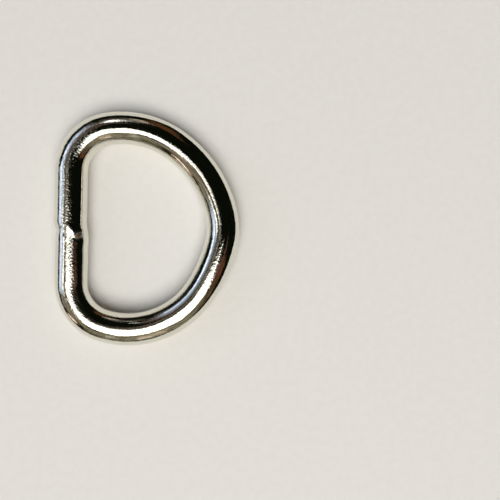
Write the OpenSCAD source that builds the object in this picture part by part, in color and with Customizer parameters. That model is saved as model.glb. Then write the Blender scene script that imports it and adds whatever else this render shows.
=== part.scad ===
// D ring of round wire for 25 mm webbing: one wire bent into a D and butt welded in its straight bar.
// It lies flat: the bar runs along Y on the -X side, the bow bulges towards +X, the floor is z = 0.

/* [Wire] */
// Diameter of the round steel wire
wire_d = 4.8; // [4:0.1:6]

/* [Opening] */
// Clear width of the opening along the bar, made for webbing of this width
inside_w = 25; // [20.5:0.5:31]
// Clear depth of the opening, from the bar's upper half to the crown
inside_h = 17.8; // [14.8:0.1:21.4]
// How far the crown sits above mid width, towards the upper bend
crown_rise = 0.2; // [-1:0.1:1]

/* [Upper half] */
// Inside radius of the upper corner bend
upper_bend_r = 4.1; // [3:0.1:5.2]
// Turn of the upper corner bend, in degrees
upper_bend_turn = 81; // [76:1:86]
// Turn of the upper shoulder, the rounder stretch after the bend, in degrees
upper_shoulder_turn = 41; // [36:1:50]
// Turn of the crown's own curve on its upper side, in degrees
upper_crown_turn = 14; // [8:1:18]

/* [Lower half] */
// Inside radius of the lower corner bend
lower_bend_r = 4.3; // [3:0.1:5.3]
// Turn of the lower corner bend, in degrees
lower_bend_turn = 74; // [70:1:80]
// Turn of the lower shoulder, the rounder stretch after the bend, in degrees
lower_shoulder_turn = 73.5; // [66:0.5:78]
// Turn of the crown's own curve on its lower side, in degrees
lower_crown_turn = 11.5; // [8:0.5:16]

/* [Crown] */
// Inside radius of the bow at its crown, tighter than its flanks
crown_r = 6.5; // [5:0.1:8]

/* [Weld] */
// How far the wire's lower end sits further in than its upper end
weld_step = 0.24; // [0.05:0.01:0.4]
// Length of the slanted stretch that takes up this step
weld_run = 1.2; // [0.8:0.1:2]
// Height of that stretch's middle above mid width
weld_y = 0.1; // [-2:0.1:2]
// How much less the wire's radius is along that stretch
weld_waist = 0.06; // [0.02:0.01:0.1]
// Distance from the stretch's middle down to the seam line
seam_drop = 1.2; // [1.1:0.1:2]
// Depth of the seam's groove
seam_depth = 0.06; // [0.03:0.01:0.1]
// Radius of the groove's round bottom
seam_r = 0.2; // [0.15:0.01:0.3]
// Slant of the seam against the wire's cross-section, in degrees
seam_tilt = 12; // [0:1:15]

/* [Hidden] */
$fn = 96;
NICKEL = [0.80, 0.78, 0.74];

wire_r = wire_d / 2;
// Width and depth of the wire's middle line
mid_w = inside_w + wire_d;
mid_h = inside_h + wire_d;
// Where the middle line of the bar's two halves lies
upper_bar_x = -mid_h / 2;
lower_bar_x = upper_bar_x + weld_step;
// Bending draws the wire thinner by a hair: this much less radius in every second stretch,
// which reaches this far into the full ends of its neighbours
drawn = 0.01;
lap = 0.2;

// Radii [bend, shoulder, flank] of a half outline with this depth from bar to crown and this reach
// from crown to widest point; a holds its heading after the bend, the shoulder and the flank
function fitted_radii(depth, reach, bend, a) =
    let (
        crown = crown_r + wire_r,
        shoulder_x = cos(a[0]) - cos(a[1]),
        shoulder_y = 1 - sin(a[1]),
        flank_x = cos(a[1]) - cos(a[2]),
        flank_y = sin(a[1]) - sin(a[2]),
        rest_x = depth - bend * (1 - cos(a[0])) - crown * (1 + cos(a[2])),
        rest_y = reach - crown * sin(a[2]),
        both = shoulder_x * flank_y - flank_x * shoulder_y
    )
    [
        bend,
        (rest_x * flank_y - flank_x * rest_y) / both,
        (shoulder_x * rest_y - rest_x * shoulder_y) / both
    ];

upper_turns = [
    upper_bend_turn,
    upper_shoulder_turn,
    180 - upper_bend_turn - upper_shoulder_turn - upper_crown_turn
];
lower_turns = [
    lower_bend_turn,
    lower_shoulder_turn,
    180 - lower_bend_turn - lower_shoulder_turn - lower_crown_turn
];

// Headings after each turn, clockwise from the bar's direction
function headings(turns) = [turns[0], turns[0] + turns[1], turns[0] + turns[1] + turns[2]];

upper_radii = fitted_radii(
    mid_h, mid_w / 2 - crown_rise, upper_bend_r + wire_r, headings(upper_turns)
);
lower_radii = fitted_radii(
    mid_h - weld_step, mid_w / 2 + crown_rise, lower_bend_r + wire_r, headings(lower_turns)
);

// The bent stretches in order from the bar's upper end to its lower end
RADIUS = 0;
TURN = 1;
DRAWN = 2;
STRETCHES = [
    [upper_radii[0], upper_turns[0], drawn],
    [upper_radii[1], upper_turns[1], 0],
    [upper_radii[2], upper_turns[2], drawn],
    [crown_r + wire_r, upper_crown_turn + lower_crown_turn, 0],
    [lower_radii[2], lower_turns[2], drawn],
    [lower_radii[1], lower_turns[1], 0],
    [lower_radii[0], lower_turns[0], drawn]
];

// How far a half outline rises from the end of the bar to its widest point
function rise(radii, bend_turn) = radii[0] * sin(bend_turn) + radii[1] * (1 - sin(bend_turn));

upper_bar_end = mid_w / 2 - rise(upper_radii, upper_bend_turn);
lower_bar_end = rise(lower_radii, lower_bend_turn) - mid_w / 2;

// Heading at the start of a stretch, clockwise from the bar's direction
function heading(n) = n == 0 ? 0 : heading(n - 1) + STRETCHES[n - 1][TURN];

// Point where a stretch starts
function start_of(n) =
    n == 0 ? [upper_bar_x, upper_bar_end] :
    let (
        from = heading(n - 1),
        to = heading(n)
    )
    start_of(n - 1) + STRETCHES[n - 1][RADIUS] * [cos(from) - cos(to), sin(to) - sin(from)];

// One bent stretch of wire; a drawn one is longer by the lap at both ends
module bent_stretch(n) {
    row = STRETCHES[n];
    extra = row[DRAWN] > 0 ? lap / row[RADIUS] * 180 / PI : 0;
    first = 180 - heading(n) - row[TURN] - extra;
    translate(start_of(n) + row[RADIUS] * [cos(heading(n)), -sin(heading(n))])
        rotate_extrude(angle = row[TURN] + 2 * extra, start = first)
            translate([row[RADIUS], 0])
                circle(r = wire_r - row[DRAWN]);
}

// Straight wire along Y between two heights
module straight_wire(low, high, radius = wire_r) {
    translate([0, high])
        rotate([90, 0, 0])
            cylinder(r = radius, h = high - low);
}

// The upper bend, the bow and the lower bend
module bends_and_bow() {
    for (n = [0 : len(STRETCHES) - 1]) {
        bent_stretch(n);
    }
}

// The two ends of the wire, which make the straight bar
module bar_halves() {
    translate([upper_bar_x, 0])
        straight_wire(weld_y + weld_run / 2, upper_bar_end);
    translate([lower_bar_x, 0])
        straight_wire(lower_bar_end, weld_y - weld_run / 2);
}

// The slanted stretch that leads from the upper end of the wire over to the lower one,
// cut square to the bar where it has reached into both ends by the lap
module weld() {
    slant = atan2(weld_step, weld_run);
    translate([(upper_bar_x + lower_bar_x) / 2, weld_y])
        intersection() {
            rotate([0, 0, slant])
                straight_wire(-weld_run - wire_r, weld_run + wire_r, wire_r - weld_waist);
            cube([2 * wire_d, weld_run + 2 * lap, 2 * wire_d], center = true);
        }
}

// The fine groove around the wire where its two ends were welded together
module seam() {
    translate([lower_bar_x, weld_y - seam_drop])
        rotate([0, 0, seam_tilt])
            rotate([90, 0, 0])
                rotate_extrude()
                    translate([wire_r + seam_r - seam_depth, 0])
                        circle(r = seam_r, $fn = 32);
}

module d_ring() {
    color(NICKEL)
        translate([0, 0, wire_r])
            difference() {
                union() {
                    bar_halves();
                    weld();
                    bends_and_bow();
                }
                seam();
            }
}

d_ring();
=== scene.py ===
"""A D ring of bright nickel-plated steel wire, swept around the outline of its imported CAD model."""

import math

import bpy
import numpy as np
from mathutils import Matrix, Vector


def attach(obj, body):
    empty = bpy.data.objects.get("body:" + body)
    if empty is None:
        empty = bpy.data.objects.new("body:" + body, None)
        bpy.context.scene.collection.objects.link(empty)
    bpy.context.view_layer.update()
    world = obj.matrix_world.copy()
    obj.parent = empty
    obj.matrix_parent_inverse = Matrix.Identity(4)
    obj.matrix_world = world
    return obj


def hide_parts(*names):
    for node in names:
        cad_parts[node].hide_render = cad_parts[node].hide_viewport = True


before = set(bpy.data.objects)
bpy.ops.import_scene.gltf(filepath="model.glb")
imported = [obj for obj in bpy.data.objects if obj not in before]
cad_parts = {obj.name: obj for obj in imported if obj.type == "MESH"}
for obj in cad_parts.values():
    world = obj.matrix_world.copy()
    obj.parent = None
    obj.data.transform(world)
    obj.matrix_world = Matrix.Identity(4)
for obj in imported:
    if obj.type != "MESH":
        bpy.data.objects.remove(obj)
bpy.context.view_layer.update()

MM = 0.001

# Driving sizes of the CAD source, in millimetres and degrees: the wire, the clear opening, the
# crown, both corner bends and the weld
WIRE_R = 2.4
INSIDE_W = 25
INSIDE_H = 17.8
CROWN_RISE = 0.2
CROWN_R = 6.5
UPPER_BEND_R = 4.1
UPPER_TURNS = {"bend": 81, "shoulder": 41, "crown": 14}
LOWER_BEND_R = 4.3
LOWER_TURNS = {"bend": 74, "shoulder": 73.5, "crown": 11.5}
WELD_STEP = 0.24
WELD_RUN = 1.2
WELD_Y = 0.1
SEAM_DROP = 1.2
SEAM_SLANT = 12

# What follows from them for the wire's middle line and for the weld
MID_W = INSIDE_W + 2 * WIRE_R
MID_H = INSIDE_H + 2 * WIRE_R
UPPER_BAR_X = -MID_H / 2
LOWER_BAR_X = UPPER_BAR_X + WELD_STEP
STEP_LOW = WELD_Y - WELD_RUN / 2
STEP_HIGH = WELD_Y + WELD_RUN / 2
SEAM_Y = WELD_Y - SEAM_DROP

# Fineness of the outline and of the swept mesh, in millimetres. Its rings lie closer within
# FINE_REACH of the seam.
OUTLINE_STEP = 0.01
SIDES = 96
COARSE_STEP = 0.12
FINE_STEP = 0.045
FINE_REACH = 3.5
# How far to both sides the wire's direction is read, and the slack in telling what is on the bar
LOOK_AROUND = 0.15
BAR_SLACK = 0.001


def half_outline(depth, reach, bend_r, turns):
    """Radius and turn of a half's bend, shoulder and flank, which together meet the crown."""
    flank_turn = 180 - turns["bend"] - turns["shoulder"] - turns["crown"]
    all_turns = [turns["bend"], turns["shoulder"], flank_turn]
    after_bend, after_shoulder, after_flank = np.radians(np.cumsum(all_turns))
    bend = bend_r + WIRE_R
    crown = CROWN_R + WIRE_R
    # How far one unit of shoulder and of flank radius leads along the depth and along the reach
    depth_leads = [
        math.cos(after_bend) - math.cos(after_shoulder),
        math.cos(after_shoulder) - math.cos(after_flank),
    ]
    reach_leads = [
        1 - math.sin(after_shoulder),
        math.sin(after_shoulder) - math.sin(after_flank),
    ]
    depth_left = depth - bend * (1 - math.cos(after_bend)) - crown * (1 + math.cos(after_flank))
    reach_left = reach - crown * math.sin(after_flank)
    shoulder, flank = np.linalg.solve([depth_leads, reach_leads], [depth_left, reach_left])
    return list(zip([bend, float(shoulder), float(flank)], all_turns))


def rise(half):
    """How far a half outline rises from the end of the bar to its widest point."""
    (bend, turn), (shoulder, _), _ = half
    share = math.sin(math.radians(turn))
    return bend * share + shoulder * (1 - share)


UPPER_HALF = half_outline(MID_H, MID_W / 2 - CROWN_RISE, UPPER_BEND_R, UPPER_TURNS)
LOWER_HALF = half_outline(MID_H - WELD_STEP, MID_W / 2 + CROWN_RISE, LOWER_BEND_R, LOWER_TURNS)
CROWN = (CROWN_R + WIRE_R, UPPER_TURNS["crown"] + LOWER_TURNS["crown"])
BENDS = UPPER_HALF + [CROWN] + LOWER_HALF[::-1]
UPPER_BAR_END = MID_W / 2 - rise(UPPER_HALF)
LOWER_BAR_END = rise(LOWER_HALF) - MID_W / 2


def smooth(value):
    """0 below 0, 1 above 1, and a smooth step between."""
    value = np.clip(value, 0, 1)
    return value * value * (3 - 2 * value)


def bump(value, middle, width):
    """A bell of height 1 around the middle."""
    return np.exp(-(((value - middle) / width) ** 2))


def bar_x(y):
    """Where the bar's middle line lies at this height: it steps over to the lower half at the weld."""
    share = smooth((y - STEP_LOW) / (STEP_HIGH - STEP_LOW))
    return LOWER_BAR_X + (UPPER_BAR_X - LOWER_BAR_X) * share


def bend_point(x, y, radius, heading, now):
    """Where a bend that starts at x, y with this heading has come when its heading is now."""
    return (
        x + radius * (math.cos(heading) - math.cos(now)),
        y + radius * (math.sin(now) - math.sin(heading)),
    )


def outline_points():
    """Middle line from the seam up the bar and clockwise back to it, as closely spaced points."""
    points = []
    for y in np.arange(SEAM_Y, UPPER_BAR_END, OUTLINE_STEP):
        points.append((bar_x(y), y))
    x, y, heading = UPPER_BAR_X, UPPER_BAR_END, 0.0
    for radius, turn in BENDS:
        turn = math.radians(turn)
        for part in np.arange(0, turn, OUTLINE_STEP / radius):
            points.append(bend_point(x, y, radius, heading, heading + part))
        x, y = bend_point(x, y, radius, heading, heading + turn)
        heading += turn
    for y in np.arange(LOWER_BAR_END, SEAM_Y, OUTLINE_STEP):
        points.append((LOWER_BAR_X, y))
    return np.array(points)


def ring_distances(length):
    """Distances along the wire at which the mesh has its rings, closer near the seam."""
    picked, here = [], 0.0
    while here < length - FINE_STEP / 2:
        picked.append(here)
        near = min(here, length - here) < FINE_REACH
        here += FINE_STEP if near else COARSE_STEP
    return np.array(picked)


def stations():
    """Places, outward directions and distances along the wire of the rings, and its length."""
    line = outline_points()
    gaps = np.linalg.norm(np.diff(line, axis=0, append=line[:1]), axis=1)
    along = np.concatenate([[0], np.cumsum(gaps)])
    length = along[-1]
    closed = np.vstack([line, line[:1]])

    def at(distance):
        """Where the middle line is at these distances along it."""
        return np.stack([np.interp(distance % length, along, closed[:, i]) for i in range(2)], 1)

    picked = ring_distances(length)
    place = at(picked)
    tangent = at(picked + LOOK_AROUND) - at(picked - LOOK_AROUND)
    tangent /= np.linalg.norm(tangent, axis=1)[:, None]
    # The step at the weld shifts the wire sideways without turning it
    on_bar = (place[:, 0] < LOWER_BAR_X + BAR_SLACK) & (place[:, 1] > LOWER_BAR_END)
    tangent[on_bar & (place[:, 1] < UPPER_BAR_END)] = (0, 1)
    outward = np.stack([-tangent[:, 1], tangent[:, 0]], 1)
    return place, outward, picked, length


# The weld, in millimetres. Places around the wire are in degrees: 0 is outward and 90 is up.
# How the wire's top leans north, towards the bar's upper end: distance past the seam, degrees
LEANS = [
    (-30.0, 0.0),
    (-27.0, 0.7),
    (-14.0, 0.7),
    (-11.0, 0.0),
    (-8.5, -1.2),
    (-2.0, -1.3),
    (-1.4, -0.9),
    (-0.6, -2.8),
    (0.0, -3.2),
    (0.4, -2.8),
    (1.1, -1.4),
    (1.9, -0.6),
    (2.5, 0.2),
    (6.0, 0.2),
    (7.0, 0.0),
]
LEAN_SAMPLES = 2000
# Where the leaning top fades out on the inner side, as a share of the wire's radius, and over
# how much of it
TOP_END = -0.85
TOP_FADE = 0.5
# Bells in the skin: height on the bar, half width, and how far the skin moves out
WAIST = (0.1, 0.7, -0.05)
OUTER_FLASH = (1.15, 0.35, 0.05)
OUTER_NOTCH = (-0.45, 0.45, -0.16)
INNER_BULGE = (-1.9, 0.8, 0.08)
# The seam's fine groove: its middle is the seam itself
SEAM_GROOVE = (0, 0.06, -0.005)
# Ridge that the seam ends in on the inner side: height on the bar where the top fades out, slope
# from there, half width and height of the ridge, and from which share of the radius it shows
CREASE_Y = -0.32
CREASE_SLOPE = 1.49
CREASE_WIDTH = 0.16
CREASE_HEIGHT = 0.025
CREASE_FROM = 0.8
CREASE_FADE = 0.12
# Ridge of flash that runs down across the top above the seam: both ends as height on the bar and
# place around the wire, then half width, height and the fade at its ends
FLASH_ENDS = [(0.30, 92), (-1.05, 114)]
FLASH_WIDTH = 0.4
FLASH_HEIGHT = 0.055
FLASH_FADE = 0.5
# A pit and three beads beside the seam: height on the bar, place around the wire, radius and
# depth
PITS = [
    (-1.15, 73.5, 0.18, 0.05),
    (0.02, 73.5, 0.12, -0.018),
    (-0.28, 72.5, 0.12, -0.020),
    (-0.58, 72, 0.11, -0.016),
]
# Drawing, bending and polishing leave the skin faintly wavy: wavelengths and height in millimetres
LONG_WAVES = {"seed": 5, "count": 60, "shortest": 1.2, "longest": 9.0, "height": 0.006}
SHORT_WAVES = {"seed": 8, "count": 60, "shortest": 0.35, "longest": 1.2, "height": 0.0012}


def waves(along, around, length, seed, count, shortest, longest, height):
    """Random soft waves over the wire's skin that meet themselves all the way round."""
    draw = np.random.default_rng(seed)
    total = np.zeros(np.broadcast(along, around).shape)
    for _ in range(count):
        wavelength = math.exp(draw.uniform(math.log(shortest), math.log(longest)))
        slant = draw.uniform(0, 2 * math.pi)
        turns = round(length / wavelength * math.cos(slant))
        folds = round(2 * math.pi * WIRE_R / wavelength * math.sin(slant))
        phase = draw.uniform(0, 2 * math.pi)
        wave = np.sin(2 * math.pi * turns * along / length + folds * around + phase)
        total += wave * wavelength / longest
    return total * height / math.sqrt(count / 2)


def bell(value, row):
    """How far a row of middle, half width and height moves the skin at this value."""
    middle, width, height = row
    return height * bump(value, middle, width)


def lean_height(past):
    """How much the leaning top rises or falls at this distance past the seam."""
    place, degrees = np.array(LEANS).T
    fine = np.linspace(place[0], place[-1], LEAN_SAMPLES)
    slope = np.tan(np.radians(np.interp(fine, place, degrees)))
    height = np.cumsum(slope[::-1])[::-1] * (fine[1] - fine[0])
    height = height - height[0] * smooth((fine[-1] - fine) / (fine[-1] - fine[0]))
    return np.interp(past, fine, height, 0, 0)


def flash(high, around):
    """The soft diagonal ridge that the weld left on the wire's top."""
    ends = np.array([(end, WIRE_R * math.radians(place)) for end, place in FLASH_ENDS])
    run = ends[1] - ends[0]
    reach = np.hypot(*run)
    run = run / reach
    off = (high - ends[0][0], WIRE_R * around - ends[0][1])
    onward = off[0] * run[0] + off[1] * run[1]
    across = off[0] * run[1] - off[1] * run[0]
    share = smooth(onward / FLASH_FADE + 1) * smooth((reach - onward) / FLASH_FADE + 1)
    return FLASH_HEIGHT * share * bump(across, 0, FLASH_WIDTH)


def crease(high, around):
    """The ridge that the seam ends in on the wire's inner side."""
    line = high - CREASE_Y + CREASE_SLOPE * (np.cos(around) - TOP_END) * WIRE_R
    share = smooth((-np.cos(around) - CREASE_FROM) / CREASE_FADE)
    return CREASE_HEIGHT * share * bump(line, 0, CREASE_WIDTH)


def pits(high, around):
    """The pit and the beads beside the seam."""
    added = 0
    for pit_high, pit_around, pit_r, depth in PITS:
        across = (around - math.radians(pit_around)) * WIRE_R
        added = added - depth * bump(np.hypot(high - pit_high, across), 0, pit_r)
    return added


def weld_shape(along, around, length):
    """What the weld adds to the wire's radius."""
    past = np.where(along > length / 2, along - length, along)
    high = SEAM_Y + past
    outer = np.clip(np.cos(around), 0, 1)
    inner = np.clip(-np.cos(around), 0, 1)
    # Thinner at both sides of the slanted stretch, with flash above the notch on the outer side
    added = np.cos(around) ** 2 * bell(high, WAIST)
    added = added + outer**2 * bell(high, OUTER_FLASH)
    added = added + outer**6 * bell(high, OUTER_NOTCH)
    added = added + inner * bell(high, INNER_BULGE)
    # On top the upper end swells a little, then slopes down over the seam
    seam = past + WIRE_R * np.cos(around) * math.tan(math.radians(SEAM_SLANT))
    on_top = np.clip(np.sin(around), 0, 1) ** 2 * smooth((np.cos(around) - TOP_END) / TOP_FADE)
    added = added + on_top * lean_height(seam)
    added = added + bell(seam, SEAM_GROOVE)
    return added + crease(high, around) + flash(high, around) + pits(high, around)


def skin_radius(along, around, length):
    """Distance from the middle line to the wire's skin; around is in radians, 0 outward."""
    long_waves = waves(along, around, length, **LONG_WAVES)
    short_waves = waves(along, around, length, **SHORT_WAVES)
    return WIRE_R + weld_shape(along, around, length) + long_waves + short_waves


# The wire's mesh, and the objects that hold it and the stage
def new_object(name, data):
    """An object of this mesh, lamp or camera, linked to the scene."""
    made = bpy.data.objects.new(name, data)
    bpy.context.scene.collection.objects.link(made)
    return made


def mesh_object(name, points, faces):
    """An object with a mesh of these points, in metres, and faces."""
    mesh = bpy.data.meshes.new(name)
    mesh.from_pydata(points, [], faces)
    mesh.update()
    return new_object(name, mesh)


def ring_faces(rings):
    """Quads between neighbouring rings, with the ring and side that each starts from."""
    first, second = np.meshgrid(np.arange(rings), np.arange(SIDES), indexing="ij")
    next_ring = (first + 1) % rings
    next_side = (second + 1) % SIDES
    corners = [
        first * SIDES + second,
        first * SIDES + next_side,
        next_ring * SIDES + next_side,
        next_ring * SIDES + second,
    ]
    return np.stack(corners, axis=2).reshape(-1, 4), first, second


def add_uv(mesh, reach, first, second):
    """A UV map whose U runs along the wire and whose V runs around it, both from 0 to 1."""
    turn = np.arange(SIDES + 1) / SIDES
    corners = [
        np.stack([reach[first], turn[second]], 2),
        np.stack([reach[first], turn[second + 1]], 2),
        np.stack([reach[first + 1], turn[second + 1]], 2),
        np.stack([reach[first + 1], turn[second]], 2),
    ]
    uv = np.stack(corners, axis=2).reshape(-1, 2)
    layer = mesh.uv_layers.new(name="along_around")
    layer.data.foreach_set("uv", uv.astype(np.float32).ravel())


def swept_ring():
    """The whole wire as one closed mesh, and the wire's length."""
    place, outward, along, length = stations()
    around = np.arange(SIDES) * 2 * math.pi / SIDES
    radius = skin_radius(along[:, None], around[None, :], length)
    side = radius * np.cos(around)
    points = np.empty((len(along), SIDES, 3))
    points[:, :, :2] = place[:, None, :] + outward[:, None, :] * side[:, :, None]
    points[:, :, 2] = WIRE_R + radius * np.sin(around)
    quads, first, second = ring_faces(len(along))
    piece = mesh_object("ring_wire", (points.reshape(-1, 3) * MM).tolist(), quads.tolist())
    add_uv(piece.data, np.append(along, length) / length, first, second)
    piece.data.polygons.foreach_set("use_smooth", np.ones(len(quads), bool))
    return piece, length


# Shader nodes
class Nodes:
    """Short calls that add shader nodes to one tree and link them."""

    def __init__(self, tree):
        self.tree = tree
        self.tree.nodes.clear()

    def add(self, kind, inputs=None, **settings):
        """A node with these settings, whose inputs are values or other nodes' outputs."""
        node = self.tree.nodes.new(kind)
        for name, value in settings.items():
            setattr(node, name, value)
        for name, value in (inputs or {}).items():
            self.feed(node.inputs[name], value)
        return node

    def feed(self, socket, value):
        """Link an output to the socket, or set its value."""
        if isinstance(value, bpy.types.NodeSocket):
            self.tree.links.new(value, socket)
        else:
            socket.default_value = value

    def math(self, operation, first, second=0.0, third=0.0):
        """The outcome of one operation."""
        inputs = {0: first, 1: second, 2: third}
        return self.add("ShaderNodeMath", inputs, operation=operation).outputs[0]

    def blend(self, share, first, second):
        """A colour that goes from the first to the second as the share goes from 0 to 1."""
        inputs = {"Factor": share, 6: first, 7: second}
        return self.add("ShaderNodeMix", inputs, data_type="RGBA").outputs[2]

    def noise(self, vector, scale, detail=2.0, rough=0.5, stretch=(1, 1, 1), move=(0, 0, 0)):
        """Noise over a vector that is stretched and moved first."""
        mapping = {"Vector": vector, "Scale": stretch, "Location": move}
        inputs = {
            "Vector": self.add("ShaderNodeMapping", mapping).outputs[0],
            "Scale": scale,
            "Detail": detail,
            "Roughness": rough,
        }
        return self.add("ShaderNodeTexNoise", inputs).outputs[0]

    def ramp(self, value, low, high, to_low=0.0, to_high=1.0):
        """A smooth step from to_low to to_high as the value goes from low to high."""
        inputs = {
            "Value": value,
            "From Min": low,
            "From Max": high,
            "To Min": to_low,
            "To Max": to_high,
        }
        return self.add("ShaderNodeMapRange", inputs, interpolation_type="SMOOTHSTEP").outputs[0]

    def spot(self, vector, middle, reach, core=0.4):
        """1 within the core of the reach around the middle, fading to 0 at the reach."""
        inputs = {0: vector, 1: middle}
        away = self.add("ShaderNodeVectorMath", inputs, operation="DISTANCE").outputs["Value"]
        return self.ramp(away, reach, core * reach)


def new_material(name):
    """An empty material and the calls that add nodes to it."""
    material = bpy.data.materials.new(name)
    material.use_nodes = True
    return material, Nodes(material.node_tree)


def surface(nodes, kind, inputs):
    """End a material in this shader."""
    shader = nodes.add(kind, inputs)
    nodes.add("ShaderNodeOutputMaterial", {"Surface": shader.outputs[0]})


# The plating. Lengths and heights are in millimetres. A STEP holds two values of a noise, and
# between them what it drives goes from none to all.
NICKEL = [(0.82, 0.80, 0.72, 1), (0.78, 0.77, 0.69, 1)]
CLOUDS = {"scale": 0.35, "detail": 3}
CLOUD_STEP = (0.35, 0.65)
# Roughness of the glossy and of the duller patches
GLOSS = (0.03, 0.08)
PATCHES = {"scale": 1.1, "detail": 4, "rough": 0.6}
PATCH_STEP = (0.3, 0.75)
# Stretches of the wire's top and underside where it is rougher: distance along the wire from the
# seam, half length and strength. Each fades over WORN_FADE to both sides of its ends. WORN_FACING
# is how far above or below the wire's middle it starts to show, and where it shows in full.
WORN = [
    (6.0, 11.0, 1.2),
    (46.0, 8.0, 0.45),
    (79.0, 7.0, 0.8),
    (30.0, 9.0, 0.2),
]
WORN_FADE = 2
WORN_FACING = (0.70 * WIRE_R, 0.97 * WIRE_R)
# Orange peel, with its height everywhere and what wear and the stain add to it
PEEL = {"scale": 3.3, "move": (7, 3, 1)}
PEEL_HEIGHT = 0.007
PEEL_WORN = 0.021
PEEL_STAIN = 0.025
# Fine marks across the wire
STRIAE = {"scale": 1.0, "detail": 3, "rough": 0.6, "stretch": (5.0, 0.7, 0.7)}
STRIAE_HEIGHT = 0.0015
# A speckled brown stain beside the seam: place along, outward and up, and reach, then the ragged
# edge, the dark and the golden specks, and how much rougher and less metallic it is
STAIN_PLACE = (0.0, -1.38, 1.97)
STAIN_REACH = 0.8
RAGGED = {"scale": 2.2, "detail": 4, "rough": 0.6}
RAGGED_STEP = (0.38, 0.56)
STAIN = [(0.10, 0.045, 0.015, 1), (0.36, 0.21, 0.08, 1)]
SPECKS = {"scale": 3.2}
SPECK_STEP = (0.52, 0.60)
STAIN_ROUGH = 0.30
STAIN_DULL = 0.5
# A dark, dull spot over the pit at the seam's outer end
PIT_PLACE = (-0.05, 0.68, 2.30)
PIT_REACH = 0.28
PIT_SPOT_COLOUR = (0.04, 0.037, 0.022, 1)


def wire_space(nodes, length):
    """Coordinates in millimetres along the wire, outward and up, counted on from the seam and,
    for what lies near the seam, to both sides of it."""
    uv = nodes.add("ShaderNodeUVMap", uv_map="along_around").outputs[0]
    parts = nodes.add("ShaderNodeSeparateXYZ", {0: uv})
    along = nodes.math("MULTIPLY", parts.outputs[0], length)
    angle = nodes.math("MULTIPLY", parts.outputs[1], 2 * math.pi)
    out = nodes.math("MULTIPLY", nodes.math("COSINE", angle), WIRE_R)
    up = nodes.math("MULTIPLY", nodes.math("SINE", angle), WIRE_R)
    place = nodes.add("ShaderNodeCombineXYZ", {0: along, 1: out, 2: up}).outputs[0]
    past = nodes.math("WRAP", along, length / 2, -length / 2)
    near = nodes.add("ShaderNodeCombineXYZ", {0: past, 1: out, 2: up}).outputs[0]
    return place, near, along, up


def stain_share(nodes, near):
    """Where the stain is: a spot beside the seam with a ragged edge."""
    ragged = nodes.ramp(nodes.noise(near, **RAGGED), *RAGGED_STEP)
    return nodes.math("MULTIPLY", nodes.spot(near, STAIN_PLACE, STAIN_REACH), ragged)


def nickel_colour(nodes, place, near, stained, in_pit):
    """Warm nickel, with the stain's specks and a dark spot over the pit."""
    clouds = nodes.ramp(nodes.noise(place, **CLOUDS), *CLOUD_STEP)
    colour = nodes.blend(clouds, *NICKEL)
    specks = nodes.ramp(nodes.noise(near, **SPECKS), *SPECK_STEP)
    colour = nodes.blend(stained, colour, nodes.blend(specks, *STAIN))
    # The pit is given a dark colour here
    return nodes.blend(in_pit, colour, PIT_SPOT_COLOUR)


def worn_share(nodes, along, up):
    """How rough the plating is here: only on the wire's top and underside, and on few stretches."""
    worn = 0.0
    for middle, reach, strength in WORN:
        off = nodes.math("ABSOLUTE", nodes.math("SUBTRACT", along, middle))
        stretch = nodes.ramp(off, reach + WORN_FADE, reach - WORN_FADE, 0.0, strength)
        worn = nodes.math("ADD", worn, stretch)
    facing = nodes.ramp(nodes.math("ABSOLUTE", up), *WORN_FACING)
    return nodes.math("MULTIPLY", worn, facing)


def nickel_relief(nodes, place, worn, stained):
    """Bump of fine marks across the wire and of an orange peel."""
    striae = nodes.noise(place, **STRIAE)
    peel = nodes.noise(place, **PEEL)
    peel_height = nodes.math("MULTIPLY_ADD", worn, PEEL_WORN, PEEL_HEIGHT)
    peel_height = nodes.math("MULTIPLY_ADD", stained, PEEL_STAIN, peel_height)
    height = nodes.math("MULTIPLY", striae, STRIAE_HEIGHT)
    height = nodes.math("MULTIPLY_ADD", peel, peel_height, height)
    inputs = {"Height": height, "Distance": MM, "Strength": 1.0}
    return nodes.add("ShaderNodeBump", inputs).outputs[0]


def nickel(length):
    """Bright nickel plating, slightly warm, with cloudy gloss, worn stretches and a stain."""
    material, nodes = new_material("nickel_plating")
    place, near, along, up = wire_space(nodes, length)
    stained = stain_share(nodes, near)
    in_pit = nodes.spot(near, PIT_PLACE, PIT_REACH)
    rough = nodes.ramp(nodes.noise(place, **PATCHES), *PATCH_STEP, *GLOSS)
    # Less metallic in the stain and over the pit's dark spot
    dull_share = nodes.math("MAXIMUM", nodes.math("MULTIPLY", stained, STAIN_DULL), in_pit)
    inputs = {
        "Base Color": nickel_colour(nodes, place, near, stained, in_pit),
        "Metallic": nodes.math("SUBTRACT", 1.0, dull_share),
        "Roughness": nodes.math("MULTIPLY_ADD", stained, STAIN_ROUGH, rough),
        "Normal": nickel_relief(nodes, place, worn_share(nodes, along, up), stained),
    }
    surface(nodes, "ShaderNodeBsdfPrincipled", inputs)
    return material


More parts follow.
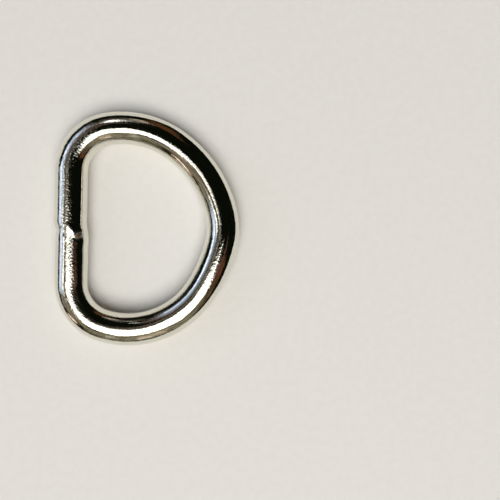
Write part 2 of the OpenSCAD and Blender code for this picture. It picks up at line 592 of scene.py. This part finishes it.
# The studio's soft windows, seen from the ring: name, centre and half size in degrees east and
# north of straight up, turn, softness of the edge, and colour. Each lies over those before it,
# and DARK shows where there is none.
DARK = (0.003, 0.004, 0.002)
WHITE = (2.4, 2.37, 2.29)
DIM_WINDOWS = [
    ("far_south", (4, -60), (46, 24), 6, 9, (0.20, 0.18, 0.125)),
    ("far_south_tan", (6, -60), (9, 14), 8, 8, (0.45, 0.37, 0.27)),
    ("far_south_streak", (-20, -56), (3.5, 10), -20, 5, (0.42, 0.40, 0.33)),
    ("far_south_brown", (3, -46), (24, 4), 0, 5, (0.20, 0.165, 0.10)),
    ("far_olive", (-43, -68), (11, 10), -33, 7, (0.10, 0.09, 0.055)),
    ("west_wall", (-30, 16), (20, 28), 8, 9, (0.08, 0.06, 0.05)),
    ("west_haze", (-38, 24), (10, 20), -18, 9, (0.20, 0.18, 0.17)),
    ("low_wall", (-40, -22), (14, 22), -20, 6, (0.22, 0.18, 0.13)),
    ("low_brown", (-67, -52), (9, 15), -37, 6, (0.26, 0.11, 0.055)),
    ("low_olive", (-66, -24), (8, 8), -20, 6, (0.25, 0.23, 0.18)),
    ("west_brown", (-31, 2), (4, 12), -5, 4, (0.12, 0.105, 0.085)),
    ("overhead_brown", (5, 3), (11, 7), -20, 7, (0.08, 0.07, 0.06)),
    ("north_grey", (-14, 50), (11, 14), 8, 8, (0.07, 0.06, 0.05)),
    ("north_brown", (16, 64), (11, 15), -14, 9, (0.08, 0.035, 0.015)),
    ("north_tan", (-1.5, 57), (4.5, 7), -6, 5, (0.42, 0.36, 0.30)),
    ("east_red", (50, -24), (20, 7), -25, 7, (0.10, 0.038, 0.018)),
    ("east_brown", (33, -12), (13, 7), -25, 6, (0.12, 0.065, 0.05)),
    ("bar_brown", (27, -3.5), (15, 4), -8, 5, (0.07, 0.036, 0.027)),
    ("east_low", (52, -42), (12, 10), -38, 7, (0.10, 0.068, 0.035)),
]
BRIGHT_WINDOWS = [
    ("window_low", (-64, -2), (13, 13), 3, 6, (0.62, 0.73, 0.93)),
    ("window_mid", (-47, 20), (11, 22), -25, 6, (0.32, 0.40, 0.56)),
    ("window_high", (-40, 50), (7, 7), -38, 6, (0.08, 0.08, 0.08)),
    ("window_sill", (-64, 3), (5, 11), -6, 4, (0.98, 1.12, 1.40)),
    ("window_strip", (-55, 17), (5.5, 14), -38, 4, (1.20, 1.34, 1.65)),
    ("window_strip_end", (-43, 34), (5, 12), -34, 4, (0.72, 0.83, 1.04)),
    ("window_shade", (-64, 42), (4.5, 16), -36, 4, (0.02, 0.02, 0.02)),
    ("west_glow", (-44, -4), (3.5, 9), -6, 3, (1.9, 1.85, 1.75)),
    ("west_line", (-33.5, -3), (3.2, 12), -3, 2.5, (0.06, 0.035, 0.018)),
    ("low_lamp", (-61, -46), (8, 4), -12, 3, (1.30, 1.12, 0.95)),
    ("far_south_lamp", (2, -69), (5, 6), 8, 5, (0.75, 0.62, 0.50)),
    ("north_lamp_rim", (-9.5, 44), (3.5, 6), 0, 4, (0.28, 0.28, 0.27)),
    ("north_lamp", (-14.5, 41), (3, 7.5), 0, 3, (1.8, 1.8, 1.8)),
    ("overhead_grey", (-16, 3.5), (10, 3.5), 0, 3, (0.20, 0.19, 0.165)),
    ("south_near", (-12, -14.9), (13.5, 14), 0, 2.5, (1.6, 1.57, 1.5)),
    ("south_core", (-12, -18.5), (13, 13), 0, 3, WHITE),
    ("south_middle", (0, -23), (15, 17.5), 0, 5, WHITE),
    ("south_west", (-11.5, -21.5), (14.5, 13.5), 44, 5, WHITE),
    ("south_east", (13.6, -23.8), (15.8, 12.4), -40, 5, WHITE),
]
# The dim windows are mottled: between the STEP's two values of a noise, their tone goes from the
# first of the SHARES of what it was to the second
MOTTLE = {"scale": 0.15, "detail": 3}
MOTTLE_STEP = (0.32, 0.68)
MOTTLE_SHARES = (0.45, 1.6)


def add_windows(nodes, chart, colour, windows):
    """Lay soft-edged windows over what is there already."""
    for name, centre, half, turn, soft, tone in windows:
        mapping = {
            "Vector": chart,
            "Location": (*centre, 0),
            "Rotation": (0, 0, math.radians(turn)),
        }
        turned = nodes.add("ShaderNodeMapping", mapping, vector_type="TEXTURE", label=name)
        sides = nodes.add("ShaderNodeSeparateXYZ", {0: turned.outputs[0]})
        inside = 1.0
        for axis in range(2):
            distance = nodes.math("ABSOLUTE", sides.outputs[axis])
            share = nodes.ramp(distance, half[axis] + soft / 2, half[axis] - soft / 2)
            inside = nodes.math("MULTIPLY", share, inside)
        colour = nodes.blend(inside, colour, (*tone, 1))
    return colour


def sky_chart(nodes):
    """A ray's direction as degrees east and north of straight up."""
    direction = nodes.add("ShaderNodeTexCoord").outputs["Generated"]
    parts = nodes.add("ShaderNodeSeparateXYZ", {0: direction})
    off_vertical = nodes.math("DEGREES", nodes.math("ARCCOSINE", parts.outputs[2]))
    bearing = nodes.math("ARCTAN2", parts.outputs[1], parts.outputs[0])
    east = nodes.math("MULTIPLY", off_vertical, nodes.math("COSINE", bearing))
    north = nodes.math("MULTIPLY", off_vertical, nodes.math("SINE", bearing))
    return nodes.add("ShaderNodeCombineXYZ", {0: east, 1: north}).outputs[0]


def studio_light():
    """A world of soft windows, laid out on a chart whose middle is straight up."""
    world = bpy.data.worlds.new("studio")
    bpy.context.scene.world = world
    world.use_nodes = True
    nodes = Nodes(world.node_tree)
    chart = sky_chart(nodes)
    colour = add_windows(nodes, chart, (*DARK, 1), DIM_WINDOWS)
    mottle = nodes.ramp(nodes.noise(chart, **MOTTLE), *MOTTLE_STEP, *MOTTLE_SHARES)
    inputs = {0: colour, 1: mottle}
    colour = nodes.add("ShaderNodeVectorMath", inputs, operation="MULTIPLY").outputs[0]
    colour = add_windows(nodes, chart, colour, BRIGHT_WINDOWS)
    background = nodes.add("ShaderNodeBackground", {"Color": colour, "Strength": 1.0})
    nodes.add("ShaderNodeOutputWorld", {"Surface": background.outputs[0]})


# Floor and backdrop: radius in metres, fineness, colours and the paper's grain. Each piece of the
# stage that only the camera or only the metal sees is hidden from the other kinds of ray.
FLOOR_R = 1.5
FLOOR_SIDES = 96
SKY_ROWS = 24
PAPER = [(0.87, 0.85, 0.80, 1), (0.89, 0.87, 0.82, 1)]
PAPER_GRAIN = {"scale": 900, "detail": 3}
PAPER_STEP = (0.3, 0.7)
PAPER_ROUGH = 0.9
BACKDROP = (0.80, 0.79, 0.76, 1)
RAY_KINDS = ("camera", "diffuse", "glossy", "transmission", "volume_scatter", "shadow")


def circle_points(radius, height):
    """Points round a level circle about the origin."""
    turns = np.arange(FLOOR_SIDES) * 2 * math.pi / FLOOR_SIDES
    return [(radius * math.cos(turn), radius * math.sin(turn), height) for turn in turns]


def shown_only_to(made, kind):
    """Hide an object from every kind of ray but this one."""
    for other in RAY_KINDS:
        if other != kind:
            setattr(made, f"visible_{other}", False)


def glow(made, name, colour):
    """Give an object an even glow of one colour."""
    material, nodes = new_material(name)
    surface(nodes, "ShaderNodeEmission", {"Color": colour, "Strength": 1.0})
    made.data.materials.append(material)


def floor():
    """A flat round floor of smooth pale paper at height zero."""
    made = mesh_object("floor", circle_points(FLOOR_R, 0), [list(range(FLOOR_SIDES))])
    material, nodes = new_material("pale_paper")
    place = nodes.add("ShaderNodeTexCoord").outputs["Object"]
    grain = nodes.ramp(nodes.noise(place, **PAPER_GRAIN), *PAPER_STEP)
    colour = nodes.blend(grain, *PAPER)
    surface(nodes, "ShaderNodeBsdfPrincipled", {"Base Color": colour, "Roughness": PAPER_ROUGH})
    made.data.materials.append(material)


def sky():
    """A pale backdrop that only the camera sees, so that the metal mirrors the windows alone."""
    points = []
    for row in range(SKY_ROWS):
        lift = math.pi / 2 * row / SKY_ROWS
        points.extend(circle_points(FLOOR_R * math.cos(lift), FLOOR_R * math.sin(lift)))
    points.append((0, 0, FLOOR_R))
    faces = []
    for row in range(SKY_ROWS):
        low, high = row * FLOOR_SIDES, (row + 1) * FLOOR_SIDES
        for side in range(FLOOR_SIDES):
            after = (side + 1) % FLOOR_SIDES
            if row == SKY_ROWS - 1:
                faces.append((low + side, low + after, high))
            else:
                faces.append((low + side, low + after, high + after, high + side))
    made = mesh_object("backdrop", points, faces)
    shown_only_to(made, "camera")
    glow(made, "backdrop_glow", BACKDROP)


# The camera looks straight down, a little turned, as in the photograph: height over the wire's
# middle, width of the frame there and the point under the lens, in millimetres, turn in radians
CAMERA_HEIGHT = 110
FRAME_WIDTH = 74.05
CAMERA_FOOT = (15.34, -2.82)
CAMERA_TURN = 0.0188
SENSOR_WIDTH = 36
CLIP_START = 0.005
CLIP_END = 10

# Dark cards under the lens: height over the wire's middle, and the corners in millimetres from
# the point under the lens
CARDS = {
    "near_card": (
        30,
        [
            (-30, 13.5),
            (-26.5, 13),
            (-25, 12.2),
            (-23.5, 15),
            (-22.5, 16.5),
            (-21.5, 18.5),
            (-21, 22),
            (-30, 22),
        ],
    ),
    "low_card": (
        60,
        [
            (-36, 40),
            (-36, 9),
            (-31, 9),
            (-29.5, 5.5),
            (-28, 4.5),
            (-26, 8),
            (-24, 12.5),
            (-17, 11.5),
            (-15, 9),
            (-14.5, 3),
            (-8.5, -1.5),
            (-3, -4.5),
            (6, -2.5),
            (14, -5),
            (22, -10),
            (30, -17),
            (45, -18),
            (45, 40),
        ],
    ),
    "high_card": (
        105,
        [
            (-38, -9.5),
            (-34, -9),
            (-30, -6.5),
            (-26, -4),
            (-8, -4),
            (-8, 7),
            (-30, 7),
            (-33, 2),
            (-38, 1),
        ],
    ),
}
# A dark sector of the floor, from south-south-east round by east to north: nearest and farthest
# distance in metres, bearings anticlockwise from east and the tapered stretch at both ends in
# degrees, number of points along each edge, and height in metres
PAPER_END = (0.032, 1.4)
PAPER_END_FROM = -62
PAPER_END_TO = 105
PAPER_END_TAPER = 30
PAPER_END_POINTS = 29
PAPER_END_Z = 0.1 * MM

# Lamp that lights the paper: place and width in metres, power in watts
FILL_PLACE = (0.05, -0.25, 0.6)
FILL_SIZE = 0.5
FILL_POWER = 1.8


def put_under_lens(made, height):
    """Place an object over the camera's foot, turned as the camera is."""
    made.location = (CAMERA_FOOT[0] * MM, CAMERA_FOOT[1] * MM, (WIRE_R + height) * MM)
    made.rotation_euler = (0, 0, CAMERA_TURN)


def mirrored_only(made):
    """Make a stage object a dark one that nothing but the metal's reflections can see."""
    shown_only_to(made, "glossy")
    glow(made, made.name, (*DARK, 1))


def dark_cards():
    """Cards under the lens, which shade the metal's reflections and nothing else."""
    for name, (height, corners) in CARDS.items():
        points = [(x * MM, y * MM, 0) for x, y in corners]
        made = mesh_object(name, points, [list(range(len(corners)))])
        put_under_lens(made, height)
        mirrored_only(made)


def paper_end():
    """A dark sector beyond the paper, which only the metal mirrors and which tapers at its ends."""
    bearings = np.radians(np.linspace(PAPER_END_FROM, PAPER_END_TO, PAPER_END_POINTS))
    near, far = PAPER_END
    from_end = np.minimum(bearings - bearings[0], bearings[-1] - bearings)
    share = smooth(from_end / math.radians(PAPER_END_TAPER))
    points = []
    for edge in (far * (near / far) ** share, np.full(PAPER_END_POINTS, far)):
        for distance, bearing in zip(edge, bearings):
            flat = (distance * math.cos(bearing), distance * math.sin(bearing))
            points.append((*flat, PAPER_END_Z))
    faces = []
    for one in range(PAPER_END_POINTS - 1):
        outer = PAPER_END_POINTS + one
        faces.append((one, outer, outer + 1, one + 1))
    mirrored_only(mesh_object("paper_end", points, faces))


def fill_light():
    """A soft lamp over the paper that the metal does not mirror."""
    data = bpy.data.lights.new("fill", "AREA")
    data.shape = "DISK"
    data.size = FILL_SIZE
    data.energy = FILL_POWER
    made = new_object("fill", data)
    made.location = FILL_PLACE
    made.rotation_euler = Vector(FILL_PLACE).to_track_quat("Z", "Y").to_euler()
    made.visible_glossy = False
    made.visible_camera = False


def camera():
    """The camera straight above, at the photograph's angle and framing."""
    data = bpy.data.cameras.new("camera")
    data.sensor_width = SENSOR_WIDTH
    data.lens = SENSOR_WIDTH * CAMERA_HEIGHT / FRAME_WIDTH
    data.clip_start = CLIP_START
    data.clip_end = CLIP_END
    made = new_object("camera", data)
    put_under_lens(made, CAMERA_HEIGHT)
    bpy.context.scene.camera = made


def plain_colours():
    """Show the light's values as they are, with no film look."""
    view = bpy.context.scene.view_settings
    view.view_transform = "Standard"
    view.look = "None"
    view.exposure = 0.0


# The scene
camera()
studio_light()
floor()
sky()
dark_cards()
paper_end()
fill_light()
plain_colours()

ring, wire_length = swept_ring()
ring.data.materials.append(nickel(wire_length))
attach(ring, "root")
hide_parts("d_ring")
